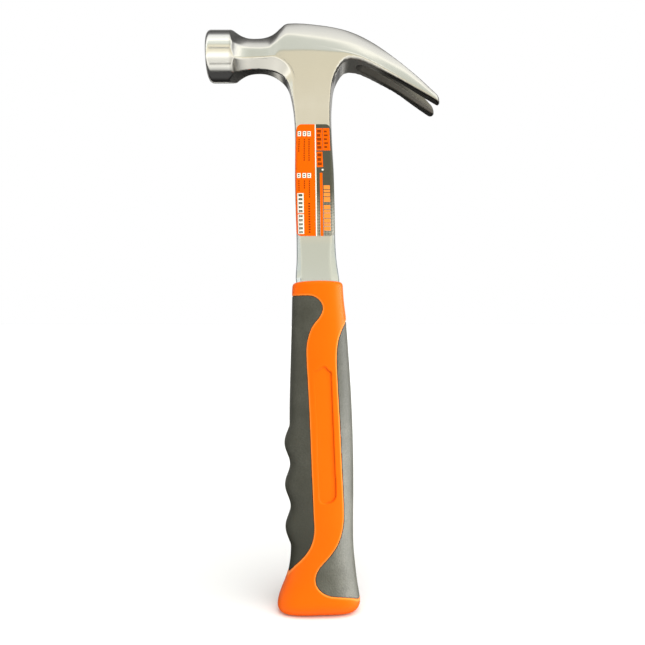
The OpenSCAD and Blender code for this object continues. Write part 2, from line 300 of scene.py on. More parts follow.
# Lower outline, from the bell along the neck, down the shank and the tang, up again and out
# along the claw: x, z, width of the edge bevel, depth of the edge bevel.
LOW = [
    (-68, 286, 11, 11), (-60, 293.4, 9.6, 9.6), (-56.5, 296.8, 8.6, 8.6), (-53.3, 299.2, 7.6, 7.6),
    (-50.8, 300.7, 6.8, 6.8), (-47.3, 302.5, 5.8, 5.8), (-43.9, 303.9, 5.1, 5.1),
    (-40.5, 304.7, 4.9, 4.9), (-37, 305, 4.9, 4.9), (-33.6, 304.9, 5.2, 5),
    (-30.1, 304.3, 5.8, 5), (-26.7, 303.1, 5.8, 4.8), (-23.4, 301.1, 5.6, 4.3),
    (-21, 298.8, 4.8, 3.6), (-19.4, 296, 3.7, 2.8), (-18.3, 292.4, 2.6, 2.1),
    (-17.4, 288, 1.8, 1.7), (-16.6, 283, 1.4, 1.5), (-15.9, 277, 1.2, 1.4), (-15.5, 270, 1.2, 1.4),
    (-15.4, 260, 1.2, 1.4), (-15.5, 248, 1.2, 1.5), (-15.4, 237, 1.3, 1.5), (-15, 222, 1.9, 1.9),
    (-14.6, 210, 2.5, 2.3), (-14.6, 197, 3.3, 2.8), (-15.1, 188, 3.8, 3), (-14.6, 184.5, 3.8, 3),
    (-11.6, 181.5, 2, 1), (-10.6, 176, 1, 0.8), (-9.6, 140, 1, 0.8), (-8.4, 80, 1, 0.8),
    (-7.6, 40, 1, 0.8), (-6.8, 35.6, 1, 0.8), (-4, 34, 1, 0.8), (3.6, 34, 1, 0.8),
    (6.4, 35.6, 1, 0.8), (7, 40, 1, 0.8), (7, 80, 1, 0.8), (7, 140, 1, 0.8), (7, 176, 1, 0.8),
    (7.4, 181.5, 2, 1), (9.4, 184.5, 4.8, 3), (9.3, 188, 4.8, 3), (8.3, 194.5, 4.2, 2.9),
    (7.5, 202, 3.4, 2.6), (7.1, 211, 2.4, 2.1), (6.9, 224, 1.7, 1.8), (6.6, 237, 1.4, 1.6),
    (6.2, 250, 1.2, 1.6), (5.4, 264, 1.2, 1.7), (4.95, 276, 1.2, 2), (5.1, 283, 1.3, 2.4),
    (5.5, 289, 1.3, 2.8), (6, 294, 1.3, 3), (6.9, 298, 1.3, 3), (8.2, 301.3, 1.3, 2.6),
    (9.8, 304.4, 1.2, 2), (11.8, 306.8, 1.2, 1.6), (14.4, 308, 1.2, 1.4), (17.4, 308, 1.2, 1.3),
    (21, 307.3, 1.2, 1.2), (26, 305.2, 1.2, 1.2), (31.2, 302.6, 1.2, 1.2),
    (42.6, 296.5, 1.1, 1.1), (52.7, 290.1, 0.9, 0.9), (60, 285.5, 0.8, 0.8),
    (66, 281.8, 0.7, 0.7), (70, 279.4, 0.7, 0.7),
]
# Half width of the head along x
HALF_X = [
    (-68, 24), (-58, 20.5), (-52, 16), (-49.9, 14), (-48, 12.1), (-46, 10.6), (-44, 9.5),
    (-42, 8.8), (-39, 8.4), (-35, 8.4), (-31, 8.7), (-27, 9.5), (-24, 10.1), (-20.5, CHEEK),
    (10, CHEEK), (36, CHEEK), (44, 10.9), (51, 12), (58, 13.1), (REACH, 13.7),
]
# Half thickness of the tang, the shank and the cheeks along z
HALF_Z = [
    (30, TANG_HALF), (180.5, TANG_HALF), (184.5, 5.2), (250, 5.2), (260, 5.6), (270, 6.5),
    (280, 7.8), (290, 9.3), (298, 10.3), (304, CHEEK), (340, CHEEK),
]
# How far the edges between the forging's faces are rounded over
FACET_EDGE, CHEEK_EDGE, BEVEL_EDGE, OUTLINE_EDGE = 0.22, 0.14, 0.6, 0.5
CORNER_ROUND = 1.6    # rounding of the sharp corners of the side view, and of the tips' ends
CROWN = 0.4           # bulge of the upper facet
BELL_END = -46        # where the bell's round shape lets go of the neck, along x
TIP_MIDDLE = 8.6      # how far from the middle each tip of the claw is longest
TIP_ROUND = 0.07      # how fast the tips fall back from there
BEVEL_RIPPLE = 0.16   # hand grinding left the lower edges a little wavy
SLOT_START = 24       # where the nail slot starts to widen, past its round closed end
SLOT_ROOT = 0.8       # half width of the nail slot at its closed end
SLOT_TIP = 5.0        # half width at the tips
# Width and depth of the bevel along the slot's lower edges, along x
SLOT_BEVEL_WIDE = [(20, 4.2), (36, 3.4), (REACH, 1.8)]
SLOT_BEVEL_DEEP = [(20, 3.2), (36, 2.6), (REACH, 1.6)]
SLOT_EDGE = 0.5
HOLE_R, HOLE_EDGE = 3.5, 0.4
TANG_HOLES = [(-0.5 - 0.4 * i, 52 + 49.5 * i) for i in range(3)]

top_path = spline(TOP)
low_path = spline(LOW)
TOP_CLOSE = [(80, -60), (-80, -60)]
LOW_CLOSE = [(80, 400), (-80, 400)]


def forging_side(x, z):
    """Distances to the top and lower outlines, the lower bevel's size and the solid's half width."""
    top = along(top_path, TOP_CLOSE, x, z)[0]
    low, (wide, deep) = along(low_path, LOW_CLOSE, x, z)
    head = (x > 10) | (x < -24)
    half = np.where(head, curve(HALF_X, x), np.minimum(curve(HALF_X, x), curve(HALF_Z, z)))
    return [v[:, None] for v in (top, low, wide, deep, half)]


def forging_near(x, z):
    """Places in the side view that are inside the forging or close to it."""
    top = along(top_path[::3], TOP_CLOSE, x, z)[0]
    low = along(low_path[::3], LOW_CLOSE, x, z)[0]
    return (np.maximum(top, low) < 2) & (x < REACH + 1.5)


def facets(x, z, ay):
    """The two sloping facets of each side of the head, under the flat top."""
    ridge_z, flat = curve(TOP, x), curve(FLAT, x)
    crease_z, inset = np.moveaxis(curve(CREASE, x), -1, 0)
    edge = curve(HALF_X, x) - inset
    height_1 = np.maximum(ridge_z - crease_z, 1)
    slope_1 = (edge - flat) / height_1
    slope_2 = inset / np.maximum(crease_z - curve(FOOT, x), 1)
    down = (ridge_z - z) / height_1
    crown = CROWN * np.clip(down * (1 - down), -0.5, 1)
    facet_1 = (ay - flat - (edge - flat) * (down + crown)) / np.hypot(1, slope_1)
    facet_2 = (ay - edge - slope_2 * (crease_z - z)) / np.hypot(1, slope_2)
    return both(facet_1, facet_2, FACET_EDGE)


def bell(x, z, ay):
    """A round bar with a rounded face, which lets go where the neck begins."""
    out = np.hypot(ay, z - BELL_Z) - (BELL_R - FACE_ROUND)
    end = -(x + REACH - FACE_ROUND)
    bar = np.hypot(np.maximum(out, 0), np.maximum(end, 0)) + np.minimum(np.maximum(out, end), 0)
    free = np.maximum(0, x - BELL_END)
    return bar - FACE_ROUND - 2 * free - free ** 2


def beside_slot(x, ay):
    """Distance sideways from the nail slot, which has a round closed end."""
    share = np.clip((x - SLOT_START) / (REACH - SLOT_START), 0, 2)
    slot_half = SLOT_ROOT + (SLOT_TIP - SLOT_ROOT) * share
    return np.hypot(ay, np.maximum(SLOT_START - x, 0)) - slot_half


def nail_slot(x, ay, low):
    """The nail slot, with a bevel along its lower edges."""
    slot = beside_slot(x, ay)
    wide, deep = curve(SLOT_BEVEL_WIDE, x), curve(SLOT_BEVEL_DEEP, x)
    return np.minimum(slot, (slot * deep - (low + deep) * wide) / np.hypot(deep, wide))


def forging(x, z, y, side=None):
    """Solid steel. x and z are lists of places; y is one row for all of them, or a column."""
    top, low, wide, deep, half = side or forging_side(x, z)
    x, z, ay = x[:, None], z[:, None], np.abs(y)
    solid = both(facets(x, z, ay), ay - half, CHEEK_EDGE)
    bevel = ((ay - half + deep) * wide + low * deep) / np.hypot(wide, deep)
    ripple = BEVEL_RIPPLE * np.sin(1.9 * x) * np.sin(1.1 * z)
    ripple = ripple * np.clip((z - 288) / 8, 0, 1) * np.clip((x - 5) / 4, 0, 1)
    solid = both(solid, bevel + ripple, BEVEL_EDGE)
    solid = both(solid, both(top, low, CORNER_ROUND), OUTLINE_EDGE)
    # The tips of the claw are round, seen from above.
    solid = both(solid, x + TIP_ROUND * (ay - TIP_MIDDLE) ** 2 - REACH, CORNER_ROUND)
    solid = both(solid, bell(x, z, ay), OUTLINE_EDGE)
    solid = both(solid, -nail_slot(x, ay, low), SLOT_EDGE)
    for hx, hz in TANG_HOLES:
        solid = both(solid, HOLE_R - np.hypot(x - hx, z - hz), HOLE_EDGE)
    return solid


def make_forging():
    """The steel, on a grid that is fine at the head and coarse along the plain tang."""
    x_ticks = ticks((-REACH - 1.5, 0.46), (REACH + 1.2,))
    y_ticks = ticks((-15.2, 0.46), (15.2,))
    z_ticks = ticks((32.5, 2.6), (183, 1.5), (268, 0.46), (HEIGHT + 1.5,))
    return Grid(x_ticks, y_ticks, z_ticks).mesh("forging", forging_near, forging)


# ---------------------------------------------------------------- grip

# Front and rear edge of the grip in the side view, and its half thickness, along z
FRONT = [(0, -25.9), (5, -25.4), (9, -24.4), (13, -22.9), (18, -20.9), (23, -19.5), (29, -18.5),
         (36, -18.1), (106, -18.9), (119, -18.8), (146, -18.1), (165, -17.6), (176, -17.4),
         (183, -17.1), (190, -16.8)]
REAR = [(0, 22.2), (5, 21.7), (10, 20.9), (16, 19.9), (27, 18.6), (37, 17.7), (50, 17.5),
        (71, 17.7), (95, 17.4), (119, 16.5), (146, 14.8), (165, 13.3), (176, 12), (190, 11.2)]
HALF_GRIP = [(0, 14.5), (6, 14.3), (12, 13.7), (20, 12.9), (35, 12.6), (60, 13), (95, 13),
             (140, 12), (162, 11.1), (176, 10.4), (190, 9.8)]
# How square the grip's oval is, as the power of a superellipse, along z
SQUARENESS = [(0, 2.9), (20, 2.6), (60, 2.4), (190, 2.5)]
# Outlines of the two pads and of the sunk panel in the side view: x, z. The pads' outlines
# run on past the grip's edges.
FRONT_PAD = [
    (-34, 178.5), (-24, 178), (-16, 177.5), (-10, 177.6), (-5.6, 177.3), (-2.2, 175.4),
    (-0.1, 172.2), (-0.2, 168.6), (-2.1, 165), (-4.7, 161.9), (-6.6, 158.4), (-8, 154),
    (-8.8, 149.6), (-8.8, 142), (-8.1, 130), (-7.3, 115), (-6.6, 99), (-6, 83), (-5.4, 69.8),
    (-4.9, 57), (-4.5, 50), (-4.8, 45.6), (-6, 40.8), (-8.4, 36.2), (-12, 31.6), (-15.2, 28.1),
    (-17.9, 24.4), (-22, 19), (-32, 13),
]
REAR_PAD = [
    (30, 164.5), (20, 164.2), (13.4, 163.8), (12.4, 161.8), (11.2, 159.6), (9.6, 155.6), (8.6, 152),
    (8, 147.5), (7.8, 142), (8.2, 132), (8.9, 119), (9.6, 106), (10.2, 93), (10.8, 80), (11.3, 70),
    (11.7, 60), (11.7, 54), (11.1, 49), (10, 44.6), (8.2, 40.2), (5.6, 36.3), (2.6, 32.6),
    (-0.6, 29.2), (-2.9, 25.6), (-3.8, 22), (-3.2, 18.6), (-1.2, 15.9), (1.6, 14), (5.2, 12.8),
    (10.7, 12), (16.3, 10.6), (20, 8.4), (25, 4), (32, -3),
]
PANEL = [(-4.7, 135.6), (-2.6, 136.2), (-0.6, 137.6), (0.9, 138.5), (2.2, 137.7), (3.4, 136.2),
         (4.7, 135.4), (5, 132), (5.2, 127), (5.7, 113), (6.3, 98), (7, 82), (7.5, 70), (7.4, 67.4),
         (6.3, 65.2), (4.2, 63.9), (1, 63.5), (-0.9, 64.2), (-1.7, 66), (-2, 70), (-2.6, 84),
         (-3.2, 104), (-4, 122), (-4.6, 133)]


def side_field(outline):
    """Signed distance in the side view from a closed outline."""
    path = spline(outline, 0.8, closed=True)
    return lambda x, z: along(path, [], x, z)[0]


front_side = side_field(FRONT_PAD)
rear_side = side_field(REAR_PAD)
panel_side = side_field(PANEL)


def ridge(z):
    """Swell of the three finger ridges."""
    from_middle = np.abs(z - FINGER_MIDDLE)
    reach = 1.5 * FINGER_PITCH
    wave = 0.5 + 0.5 * np.cos(2 * np.pi * (z - FINGER_MIDDLE) / FINGER_PITCH)
    return FINGER_DEPTH * wave * np.clip((reach - from_middle) / 4, 0, 1)


def grip_outer(x, z, y):
    """Outer shape of the whole grip: an oval that changes along the handle, with a round butt."""
    middle = (curve(FRONT, z) + curve(REAR, z)) / 2
    front = (middle - curve(FRONT, z) + ridge(z))[:, None]
    rear = (curve(REAR, z) - middle)[:, None]
    half = curve(HALF_GRIP, z)[:, None]
    power = curve(SQUARENESS, z)[:, None]
    dx = (x - middle)[:, None]
    reach = np.where(dx < 0, front, rear)
    u = np.abs(dx) / reach + 1e-6
    v = np.abs(y) / half + 1e-6
    s = (u ** power + v ** power) ** (1 / power)
    slope = np.hypot((u / s) ** (power - 1) / reach, (v / s) ** (power - 1) / half)
    side = (s - 1) / slope
    z = z[:, None]
    top = z - GRIP_TOP + COLLAR_DOME * (dx - COLLAR_MIDDLE) ** 2
    butt_round = BUTT_ROUND + BUTT_LIFT * np.clip(dx + 4, 0, 24)
    butt_round = butt_round + BUTT_FRONT * np.clip(1 - u * u, 0, 1)
    return both(both(side, -z, 1.17 * butt_round), top, 1.17 * COLLAR_ROUND)


def grip_near(x, z):
    """Places in the side view that are inside the grip or close to it."""
    front = curve(FRONT, z) - ridge(z)
    return (x > front - 1.5) & (x < curve(REAR, z) + 1.5)


def pad_field(outline):
    """Soft pad: a thick skin of the grip under its outline, a hair clear of the hard plastic."""
    def field(x, z, y):
        outer = grip_outer(x, z, y)
        side = outline(x, z)[:, None] + PAD_GAP
        return both(both(outer + PAD_STEP, side, PAD_EDGE), -(outer + PAD_DEPTH - 0.05), 0.3)
    return field


def pad_near(outline):
    """Test for the places in the side view that are inside a pad or close to it."""
    return lambda x, z: grip_near(x, z) & (outline(x, z) < 2)


def core_field(x, z, y):
    """Hard plastic: the outer shape less the pads' pockets, the sunk panel and the steel."""
    outer = grip_outer(x, z, y)
    pockets = np.minimum(front_side(x, z), rear_side(x, z))[:, None]
    solid = both(outer, -np.maximum(pockets, -(outer + PAD_DEPTH)), POCKET_EDGE)
    floor = outer + PANEL_DEPTH + PANEL_TILT * (x[:, None] - 2)
    solid = both(solid, -both(panel_side(x, z)[:, None], -floor, 0.2), 0.3)
    return np.maximum(solid, 0.02 - forging(x, z, y))


def make_grip():
    """The hard plastic and the two pads, the pads on a finer grid."""
    x_ticks, y_ticks = ticks((-27.5, 0.52), (23.8,)), ticks((-15.6, 0.56), (15.6,))
    core = Grid(x_ticks, y_ticks, ticks((-1, 0.72), (GRIP_TOP + 1.2,)))
    core = core.mesh("grip_plastic", grip_near, core_field)
    fine = Grid(ticks((-27.5, 0.42), (23.8,)), ticks((-15.6, 0.42), (15.6,)),
                ticks((-1, 0.5), (GRIP_TOP + 1.2,)))
    front = fine.mesh("front_pad", pad_near(front_side), pad_field(front_side))
    rear = fine.mesh("rear_pad", pad_near(rear_side), pad_field(rear_side))
    return core, front, rear


# ---------------------------------------------------------------- label

LABEL_LOW, LABEL_HIGH = label_low.z / MM, label_high.z / MM
LABEL_LONG = LABEL_HIGH - LABEL_LOW
LABEL_CORNER = 3.0
FILM = 0.2            # thickness of the film
# Left edge, dividing line and right edge of the film along z
LABEL_EDGES = [(211, -14.65, -3.3, 7.1), (228, -15.0, -3.5, 6.8), (246, -15.3, -3.7, 6.2),
               (260, -15.2, -3.9, 5.2), (273, -14.5, -4.05, 4.55)]
LEFT_WIDE, RIGHT_WIDE = 11.0, 9.6
# Print, as blank blocks: colour, left, right, top, bottom. Sideways from the dividing line
# (negative on the left panel) and down from the top of the label.
ORANGE_INK, DARK_INK, WHITE_INK, RED_INK, PALE_INK = range(5)


def label_print():
    """Blocks printed on the label, later ones over earlier ones."""
    blocks = [(ORANGE_INK, -LEFT_WIDE, 0, 0, LABEL_LONG), (DARK_INK, 0.3, RIGHT_WIDE, 0, LABEL_LONG),
              (WHITE_INK, -0.3, 0.3, 0, LABEL_LONG), (ORANGE_INK, 0.5, 8.6, 2.1, 14.2),
              (ORANGE_INK, 0.5, 4.0, 14.9, 23.4), (DARK_INK, 4.15, 4.4, 2.1, 14.2),
              (WHITE_INK, 3.2, 4.2, 24.4, 25.3), (ORANGE_INK, 2.1, 3.5, 26.6, LABEL_LONG)]
    # Bars in the two orange blocks
    for i in range(5):
        blocks.append((RED_INK, 1.0, 3.5 - 0.5 * (i % 2), 3.0 + 2.2 * i, 4.5 + 2.2 * i))
        blocks.append((RED_INK, 5.2, 7.0 + 0.5 * (i % 2), 3.4 + 2.1 * i, 4.4 + 2.1 * i))
    for i in range(3):
        blocks.append((RED_INK, 1.0, 3.4 - 0.4 * (i % 2), 15.8 + 2.5 * i, 17.5 + 2.5 * i))
    # Row of bars beside the stripe
    down = 33.6
    for length in (2.6, 1.6, 2.4, 3.1, 0, 2.6, 2.0, 3.0, 2.6, 1.8, 2.6):
        if length:
            blocks.append((PALE_INK, 4.0, 7.3, down, down + length - 0.4))
        down += max(length, 1.4)
    # Two rows of small square badges on the left panel, each with lines of dashes under it
    for top, lengths in ((3.8, (7, 12, 11.4)), (26.8, (5.2, 4, 9.6))):
        for left, length in zip((-10.0, -7.1, -4.5), lengths):
            blocks.append((WHITE_INK, left, left + 1.9, top, top + 2.6))
            blocks.append((DARK_INK, left + 0.4, left + 1.4, top + 0.5, top + 1.1))
            blocks.append((DARK_INK, left + 0.5, left + 1.3, top + 1.5, top + 2.1))
            dash = top + 4.0
            while dash < top + 4 + length:
                blocks.append((RED_INK, left + 0.6, left + 1.3, dash, dash + 0.9))
                dash += 1.25
    # White bars with dark cores low on the left, and a row of dashes beside them
    down = 38.0
    for length in (2.3, 2.2, 2.2, 2.2, 2.3, 0, 2.2, 2.3, 2.2, 2.3, 2.0):
        if length:
            blocks.append((WHITE_INK, -10.0, -6.7, down, down + length))
            blocks.append((DARK_INK, -9.4, -7.3, down + 0.45, down + length - 0.45))
        down += max(length, 0.6)
    for i in range(12):
        blocks.append((RED_INK, -4.3, -3.2, 43.4 + 1.45 * i, 44.3 + 1.45 * i))
    return blocks


def film_grid(blocks):
    """Places on the label, sideways from its dividing line and down, with rows and columns along
    every edge of the print, and where those places lie in the side view: u, v, x, z."""
    curl = LABEL_CORNER * (1 - np.cos(np.linspace(0, math.pi / 2, 7)))
    across = np.concatenate(
        [np.linspace(-LEFT_WIDE, RIGHT_WIDE, 42), [b[1] for b in blocks], [b[2] for b in blocks]])
    down = np.concatenate(
        [np.linspace(0, LABEL_LONG, 63), curl, LABEL_LONG - curl,
         [b[3] for b in blocks], [b[4] for b in blocks]])
    u, v = np.meshgrid(np.unique(across.round(3)), np.unique(down.round(3)), indexing="ij")
    z = LABEL_HIGH - v
    left, line, right = np.moveaxis(curve(LABEL_EDGES, z), -1, 0)
    end = np.clip(np.minimum(v, LABEL_LONG - v), 0, LABEL_CORNER)
    inset = LABEL_CORNER - np.sqrt(LABEL_CORNER ** 2 - (LABEL_CORNER - end) ** 2)
    x = np.where(u < 0, line + u / LEFT_WIDE * (line - left), line + u / RIGHT_WIDE * (right - line))
    return u, v, np.clip(x, left + inset, right - inset), z


def near_face(x, z):
    """Y of the steel's near face: the gap that holds it is halved again and again."""
    side = forging_side(x, z)
    out, deep = np.full(x.shape, -13.0), np.full(x.shape, -2.0)
    for _ in range(14):
        y = (out + deep) / 2
        inside = forging(x, z, y[:, None], side)[:, 0] < 0.03
        out, deep = np.where(inside, out, y), np.where(inside, y, deep)
    return out


def film_faces(n, m):
    """Faces of a closed film of n by m places: its near side, its far side and its rim."""
    number = np.arange(n * m).reshape(n, m)
    near = np.stack([number[:-1, :-1], number[:-1, 1:], number[1:, 1:], number[1:, :-1]], -1)
    near = near.reshape(-1, 4)
    rim = np.concatenate([number[:, 0], number[-1, 1:], number[-2::-1, -1], number[0, -2:0:-1]])
    ahead = np.roll(rim, -1)
    walls = np.column_stack([rim, ahead, ahead + n * m, rim + n * m])
    return np.vstack([near, near[:, ::-1] + n * m, walls])


def make_label(inks):
    """Thin printed film, draped over the near face of the shank."""
    blocks = label_print()
    u, v, x, z = film_grid(blocks)
    under = np.column_stack([x.ravel(), near_face(x.ravel(), z.ravel()), z.ravel()])
    faces = film_faces(*u.shape)
    film = mesh_object("label_film", np.vstack([under - [0, FILM, 0], under]), faces)
    for ink in inks:
        film.data.materials.append(ink)
    middle_u = (u[:-1, :-1] + u[1:, 1:]) / 2
    middle_v = (v[:-1, :-1] + v[1:, 1:]) / 2
    colour = np.full(middle_u.shape, WHITE_INK)
    for ink, u0, u1, v0, v1 in blocks:
        colour[(middle_u > u0) & (middle_u < u1) & (middle_v > v0) & (middle_v < v1)] = ink
    index = np.full(len(faces), WHITE_INK)
    index[:colour.size] = colour.ravel()
    film.data.polygons.foreach_set("material_index", index.astype(np.int32))
    film.data.update()
    return film


# ---------------------------------------------------------------- materials


def new_material(name, **sockets):
    """Principled material with the given sockets; returns its node tree's parts too."""
    material = bpy.data.materials.new(name)
    material.use_nodes = True
    nodes, links = material.node_tree.nodes, material.node_tree.links
    shader = nodes["Principled BSDF"]
    for key, value in sockets.items():
        shader.inputs[key.replace("_", " ")].default_value = value
    return material, nodes, links, shader


STEEL = (0.74, 0.72, 0.68, 1)
# Dark forged skin, made darker than the bare forging as painted shade under the claw and in the slot
FORGE_SKIN_AND_SHADE = (0.066, 0.062, 0.052, 1)
DULL_STEEL = (0.60, 0.645, 0.67, 1)
TURNED_STEEL = (0.90, 0.89, 0.86, 1)
DULL_Z = 216          # the shank is duller below this height, in mm
ORANGE = (0.80, 0.108, 0.0005, 1)
ORANGE_WORN = (0.84, 0.120, 0.001, 1)
# Painted highlight along the plastic's lip round the pads
ORANGE_LIP_HIGHLIGHT = (0.95, 0.30, 0.055, 1)
# Painted shade on the wall of the sunk panel
ORANGE_GROOVE_SHADE = (0.42, 0.035, 0.001, 1)
RUBBER = (0.046, 0.047, 0.030, 1)
# Lighter grey of the pads: dust, with painted sheen and painted shade
DUST_AND_SHEEN_GREY = (0.19, 0.187, 0.160, 1)
# Share of the lighter grey on the front pad along z, which falls to none toward the bottom as painted
# shade, and on the rear pad along x, which peaks on its right-facing side as painted sheen, in mm;
# dust noise clouds both
FRONT_DUST_AND_SHADE = [(18, 0.0), (34, 0.0), (62, 0.07), (90, 0.11), (190, 0.12)]
REAR_DUST_AND_SHEEN = [(-4, 0.06), (3, 0.12), (10, 0.20), (13, 0.24), (18, 0.20)]
WEAVE_INK = (0.30, 0.29, 0.24, 1)
WEAVE_CELL = 0.0006   # cell of the fine check on the label
WEAVE_TOP = 0.236     # height where it has faded out
WEAVE_FADE = 0.014    # height over which it fades


def ramp_node(nodes, stops, low, high):
    """Colour ramp through stops (position, grey or colour), with positions from low to high."""
    ramp = nodes.new("ShaderNodeValToRGB")
    ramp.color_ramp.interpolation = "EASE"
    elements = ramp.color_ramp.elements
    while len(elements) < len(stops):
        elements.new(0.5)
    for element, (place, value) in zip(elements, stops):
        element.position = (place - low) / (high - low)
        rgb = value if isinstance(value, tuple) else (value,) * 3
        element.color = (*rgb, 1)
    return ramp


def attribute(nodes, name):
    """A share from 0 to 1 that is stored on the mesh."""
    node = nodes.new("ShaderNodeAttribute")
    node.attribute_name = name
    return node.outputs["Fac"]


def math_node(nodes, links, kind, *values):
    """Math node; each value is a number or a socket."""
    node = nodes.new("ShaderNodeMath")
    node.operation = kind
    for socket, value in zip(node.inputs, values):
        if isinstance(value, (int, float)):
            socket.default_value = value
        else:
            links.new(value, socket)
    return node.outputs[0]


def noise_node(nodes, links, scale, stretch=(1, 1, 1), detail=2.0):
    """Noise over the object's own coordinates; scale is in waves per metre."""
    place = nodes.new("ShaderNodeMapping")
    place.inputs["Scale"].default_value = stretch
    links.new(nodes.new("ShaderNodeTexCoord").outputs["Object"], place.inputs[0])
    noise = nodes.new("ShaderNodeTexNoise")
    noise.inputs["Scale"].default_value = scale
    noise.inputs["Detail"].default_value = detail
    links.new(place.outputs[0], noise.inputs["Vector"])
    return noise.outputs[0]


def bump_node(nodes, links, height, strength, distance, below=None):
    """Bump of the given height map, on top of another bump if there is one."""
    bump = nodes.new("ShaderNodeBump")
    bump.inputs["Strength"].default_value = strength
    bump.inputs["Distance"].default_value = distance
    links.new(height, bump.inputs["Height"])
    if below:
        links.new(below, bump.inputs["Normal"])
    return bump.outputs[0]


def mixed(nodes, links, factor, first, second):
    """Colour between first and second by the factor; each is a colour or a socket."""
    mix = nodes.new("ShaderNodeMix")
    mix.data_type = "RGBA"
    links.new(factor, mix.inputs["Factor"])
    for socket, value in ((mix.inputs[6], first), (mix.inputs[7], second)):
        if isinstance(value, tuple):
            socket.default_value = value
        else:
            links.new(value, socket)
    return mix.outputs[2]


def steel_material():
    """Polished steel with fine grinding lines: turned and brighter where "turned" is high, greyer
    where "dull" is high, with a dark forged skin where "polish" is low, darkened further as painted
    shade, and painted black shade where "scale" is high."""
    material, nodes, links, shader = new_material("forged_steel")
    polish, turned = attribute(nodes, "polish"), attribute(nodes, "turned")
    patchy = noise_node(nodes, links, 140, detail=4)
    ground = noise_node(nodes, links, 1, (2600, 2600, 160), 3)
    rings = noise_node(nodes, links, 1, (2400, 60, 60), 3)
    lines = mixed(nodes, links, turned, ground, rings)
    skin = mixed(nodes, links, patchy, FORGE_SKIN_AND_SHADE, tuple(1.7 * c for c in FORGE_SKIN_AND_SHADE))
    black = tuple(0.3 * c for c in FORGE_SKIN_AND_SHADE)
    # Painted black shade under the claw's tips, where "scale" is high
    skin = mixed(nodes, links, attribute(nodes, "scale"), skin, black)
    clean = mixed(nodes, links, patchy, tuple(0.95 * c for c in STEEL), STEEL)
    clean = mixed(nodes, links, turned, clean, TURNED_STEEL)
    clean = mixed(nodes, links, attribute(nodes, "dull"), clean, DULL_STEEL)
    links.new(mixed(nodes, links, polish, skin, clean), shader.inputs["Base Color"])
    rough = math_node(nodes, links, "MULTIPLY_ADD", lines, 0.12, 0.08)
    rough = math_node(nodes, links, "MULTIPLY_ADD", patchy, 0.08, rough)
    dull = math_node(nodes, links, "MULTIPLY_ADD", polish, -0.3, 0.3)
    links.new(math_node(nodes, links, "ADD", rough, dull), shader.inputs["Roughness"])
    metal = math_node(nodes, links, "MULTIPLY_ADD", polish, 0.3, 0.7)
    links.new(metal, shader.inputs["Metallic"])
    fine = bump_node(nodes, links, lines, 0.08, 0.00005)
    links.new(bump_node(nodes, links, patchy, 0.12, 0.0002, fine), shader.inputs["Normal"])
    return material


def orange_material():
    """Moulded plastic with a fine spark-eroded grain and faint scuffs."""
    material, nodes, links, shader = new_material(
        "orange_plastic", Specular_IOR_Level=0.4, Specular_Tint=(1, 0.50, 0.15, 1))
    grain = noise_node(nodes, links, 2200, detail=2)
    scuff = noise_node(nodes, links, 60, detail=5)
    shade = mixed(nodes, links, scuff, ORANGE, ORANGE_WORN)
    # Painted highlight on the lip round the pads and painted shade along the sunk panel's wall
    for name, colour in (("lip", ORANGE_LIP_HIGHLIGHT), ("groove", ORANGE_GROOVE_SHADE)):
        shade = mixed(nodes, links, attribute(nodes, name), shade, colour)
    links.new(shade, shader.inputs["Base Color"])
    links.new(math_node(nodes, links, "MULTIPLY_ADD", scuff, 0.16, 0.30), shader.inputs["Roughness"])
    links.new(bump_node(nodes, links, grain, 0.25, 0.0001), shader.inputs["Normal"])
    return material


def rubber_material(name, axis, stops, low, high):
    """Soft dark rubber with fine grain. A lighter grey, clouded by dust noise, lightens or darkens it
    along one axis of the object as painted light and shade, by stops of (place in mm, share of the
    lighter grey), over low to high."""
    material, nodes, links, shader = new_material(name)
    grain = noise_node(nodes, links, 1100, detail=3)
    dust = noise_node(nodes, links, 110, detail=6)
    split = nodes.new("ShaderNodeSeparateXYZ")
    links.new(nodes.new("ShaderNodeTexCoord").outputs["Object"], split.inputs[0])
    span = (high - low) * MM
    place = math_node(nodes, links, "MULTIPLY_ADD", split.outputs[axis], 1 / span, -low * MM / span)
    dust_and_light_ramp = ramp_node(nodes, stops, low, high)
    links.new(place, dust_and_light_ramp.inputs[0])
    cloud = math_node(nodes, links, "MULTIPLY", dust, 2.0)
    speck = math_node(nodes, links, "MULTIPLY_ADD", grain, 1.6, 0.2)
    # Painted shade low on the front pad and painted sheen on the rear pad, clouded with dust
    amount = math_node(nodes, links, "MULTIPLY", dust_and_light_ramp.outputs[0], cloud)
    amount = math_node(nodes, links, "MULTIPLY", amount, speck)
    dark = tuple(0.5 * c for c in RUBBER[:3]) + (1,)
    links.new(mixed(nodes, links, amount, dark, DUST_AND_SHEEN_GREY), shader.inputs["Base Color"])
    links.new(math_node(nodes, links, "MULTIPLY_ADD", dust, 0.2, 0.40), shader.inputs["Roughness"])
    links.new(bump_node(nodes, links, grain, 0.6, 0.00025), shader.inputs["Normal"])
    return material


def ink_material(name, colour, tint=(1, 1, 1, 1)):
    """Printed glossy film: the ink's colour with a faint unevenness."""
    material, nodes, links, shader = new_material(
        name, Roughness=0.3, Specular_IOR_Level=0.35, Specular_Tint=tint)
    uneven = noise_node(nodes, links, 400, detail=3)
    shade = mixed(nodes, links, uneven, tuple(0.93 * c for c in colour[:3]) + (1,), colour)
    links.new(shade, shader.inputs["Base Color"])
    ripple = noise_node(nodes, links, 120, detail=1)
    links.new(bump_node(nodes, links, ripple, 0.15, 0.0002), shader.inputs["Normal"])
    return material


